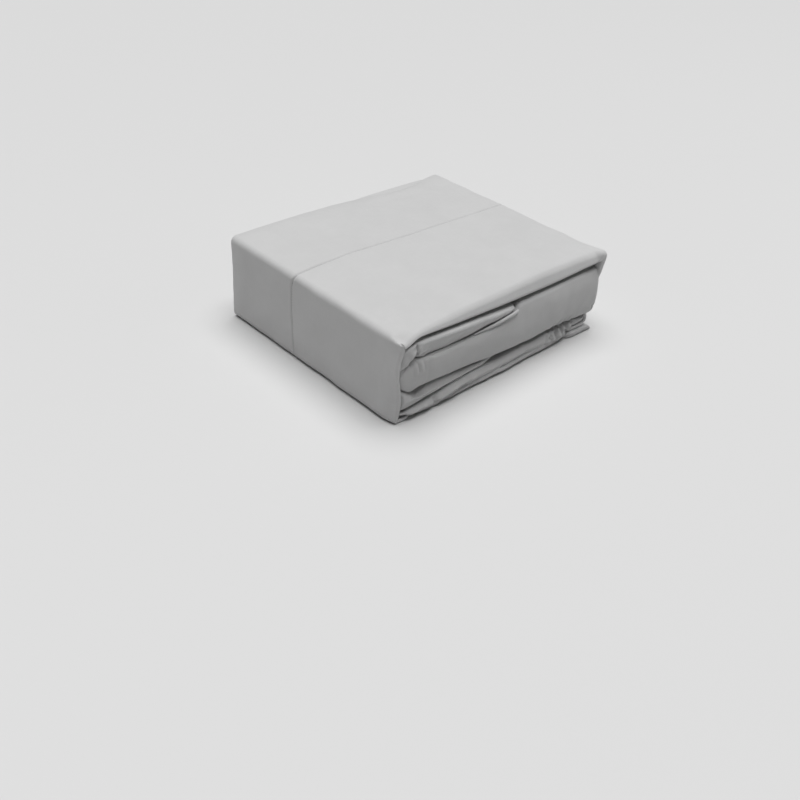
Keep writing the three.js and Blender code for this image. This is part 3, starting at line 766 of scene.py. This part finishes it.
def stitches():
    """The hem's stitches: short round-ended threads laid end to end along the seam, from the foot of
    the left wall over the top to the foot of the right wall. Each is a ring grid about the seam's
    tangent, with the ring's radius following a half circle at both ends."""
    seam_line = (wrap_stretch >= LEFT_WALL) & (wrap_stretch <= RIGHT_WALL)
    normal = crossways(wrap_shape)[seam_line, SEAM_COLUMN]
    path = wrap_shape[seam_line, SEAM_COLUMN]
    middle = np.array([0, 0, HEIGHT / 2])
    normal *= np.sign(((path - middle) * normal * (1, 0, 1)).sum(-1, keepdims=True))
    path = path + normal * (wrap_thickness[seam_line, SEAM_COLUMN, None] / 2)
    travelled = np.append(0, np.linalg.norm(np.diff(path, axis=0), axis=1).cumsum())
    at = np.arange(STITCH_PITCH, travelled[-1] - STITCH_PITCH, STITCH_PITCH)

    def follow(values, where):
        return np.stack([np.interp(where, travelled, column) for column in values.T], -1)

    turn = np.linspace(-1, 1, 9)
    where = at[:, None] + turn * STITCH_LENGTH / 2
    centre, upward = follow(path, where), follow(normal, where)
    tangent = follow(path, where + 0.2) - follow(path, where - 0.2)
    tangent /= np.linalg.norm(tangent, axis=-1, keepdims=True)
    sideways = np.cross(tangent, upward)
    radius = STITCH_RADIUS * np.sqrt(np.clip(1 - np.abs(turn) ** 6, 0.02, 1))[:, None, None]
    around = np.linspace(0, 2 * math.pi, 8, endpoint=False)[:, None]
    ring = np.cos(around) * upward[:, :, None] + np.sin(around) * sideways[:, :, None]
    places = (centre[:, :, None] + radius * ring).reshape(-1, 3) * MM
    rings, sides = len(turn), len(around)
    first, side = np.arange(len(at))[:, None] * rings * sides, np.arange(sides)
    ring_first = first[:, None] + np.arange(rings - 1)[:, None] * sides
    here, there = ring_first + side, ring_first + (side + 1) % sides
    quads = np.stack([here, there, there + sides, here + sides], -1).reshape(-1, 4)
    start_cap, end_cap = first + side[::-1], first + (rings - 1) * sides + side
    mesh = bpy.data.meshes.new("hem_stitches")
    mesh.from_pydata(places, [], quads.tolist() + start_cap.tolist() + end_cap.tolist())
    along_stitch, round_stitch = np.broadcast_arrays((where * MM)[..., None], side * STITCH_RADIUS * MM)
    corner = np.empty(len(mesh.loops), np.int32)
    mesh.loops.foreach_get("vertex_index", corner)
    uv = np.stack([along_stitch.reshape(-1), round_stitch.reshape(-1)], -1)[corner]
    mesh.uv_layers.new(name="cloth").data.foreach_set("uv", uv.reshape(-1))
    mesh.polygons.foreach_set("use_smooth", np.ones(len(mesh.polygons), bool))
    mesh.update()
    piece = bpy.data.objects.new("hem_stitches", mesh)
    bpy.context.collection.objects.link(piece)
    return piece


hem_stitches = stitches()
# The thread's grey is darker than the cloth's so that it paints in the shade of the seam's groove:
# painted shade, not the thread's own colour.
hem_stitches.data.materials.append(cotton_finish("stitch_thread_painted_shade", (0.3, 0.3, 0.3), THREAD_PITCH / 2))
for piece in (outer_sheet, hem_stitches):
    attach(piece, "root")
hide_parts("outer_sheet")

# ---------------------------------------------------------------------------------------------------
# Studio: a plain pale floor, soft light from above and from both sides, and the camera.
# ---------------------------------------------------------------------------------------------------
FLOOR_REACH = 6.0
floor_mesh = bpy.data.meshes.new("studio_floor")
floor_corners = [(-FLOOR_REACH, -FLOOR_REACH, 0), (FLOOR_REACH, -FLOOR_REACH, 0),
                 (FLOOR_REACH, FLOOR_REACH, 0), (-FLOOR_REACH, FLOOR_REACH, 0)]
floor_mesh.from_pydata(floor_corners, [], [(0, 1, 2, 3)])
studio_floor = bpy.data.objects.new("studio_floor", floor_mesh)
bpy.context.collection.objects.link(studio_floor)
floor_paint = bpy.data.materials.new("studio_floor")
floor_paint.use_nodes = True
floor_shader = floor_paint.node_tree.nodes["Principled BSDF"]
floor_shader.inputs["Base Color"].default_value = (0.6, 0.6, 0.6, 1)
floor_shader.inputs["Roughness"].default_value = 0.9
floor_mesh.materials.append(floor_paint)

world = bpy.data.worlds.new("studio")
world.use_nodes = True
surroundings = world.node_tree
backdrop = surroundings.nodes["Background"]
backdrop.inputs["Color"].default_value = (1, 1, 1, 1)
seen = surroundings.nodes.new("ShaderNodeLightPath")
strength = surroundings.nodes.new("ShaderNodeMapRange")
strength.inputs["To Min"].default_value = 0.03  # the little light that the studio's walls give back
strength.inputs["To Max"].default_value = 0.78  # how pale they look
surroundings.links.new(seen.outputs["Is Camera Ray"], strength.inputs["Value"])
surroundings.links.new(strength.outputs[0], backdrop.inputs["Strength"])
bpy.context.scene.world = world
bpy.context.scene.view_settings.view_transform = "Standard"

overhead = bpy.data.lights.new("overhead_softbox", "SUN")
overhead.angle = math.radians(54)
overhead.energy = 3.62
overhead_lamp = bpy.data.objects.new("overhead_softbox", overhead)
overhead_lamp.matrix_world = Vector((0.06, 0.05, 1)).to_track_quat("Z", "Y").to_matrix().to_4x4()
bpy.context.collection.objects.link(overhead_lamp)

for lamp_name, lamp_energy, lamp_place in (
    ("left_softbox", 0.9, Vector((-1.4, -0.05, 0.5))),
    ("right_softbox", 1.5, Vector((1.3, -1.0, 0.9))),
):
    side = bpy.data.lights.new(lamp_name, "AREA")
    side.size, side.energy = 1.0, lamp_energy
    side_lamp = bpy.data.objects.new(lamp_name, side)
    turned = lamp_place.to_track_quat("Z", "Y").to_matrix().to_4x4()
    side_lamp.matrix_world = Matrix.Translation(lamp_place) @ turned
    bpy.context.collection.objects.link(side_lamp)

CAMERA_PLACE = Vector((-0.6049, -0.5761, 0.4943))
AZIMUTH, ELEVATION, ROLL = math.radians(-45.79), math.radians(35.43), math.radians(4.83)
camera_data = bpy.data.cameras.new("camera")
camera_data.sensor_width = 36.0
camera_data.lens = 42.41
camera = bpy.data.objects.new("camera", camera_data)
flat_share = math.cos(ELEVATION)
backwards = Vector((
    math.sin(AZIMUTH) * flat_share, -math.cos(AZIMUTH) * flat_share, math.sin(ELEVATION)))
level = Vector((0, 0, 1)).cross(backwards).normalized()
upright = backwards.cross(level)
right = math.cos(ROLL) * level + math.sin(ROLL) * upright
up = -math.sin(ROLL) * level + math.cos(ROLL) * upright
turned = Matrix((right, up, backwards)).transposed().to_4x4()
camera.matrix_world = Matrix.Translation(CAMERA_PLACE) @ turned
bpy.context.collection.objects.link(camera)
bpy.context.scene.camera = camera
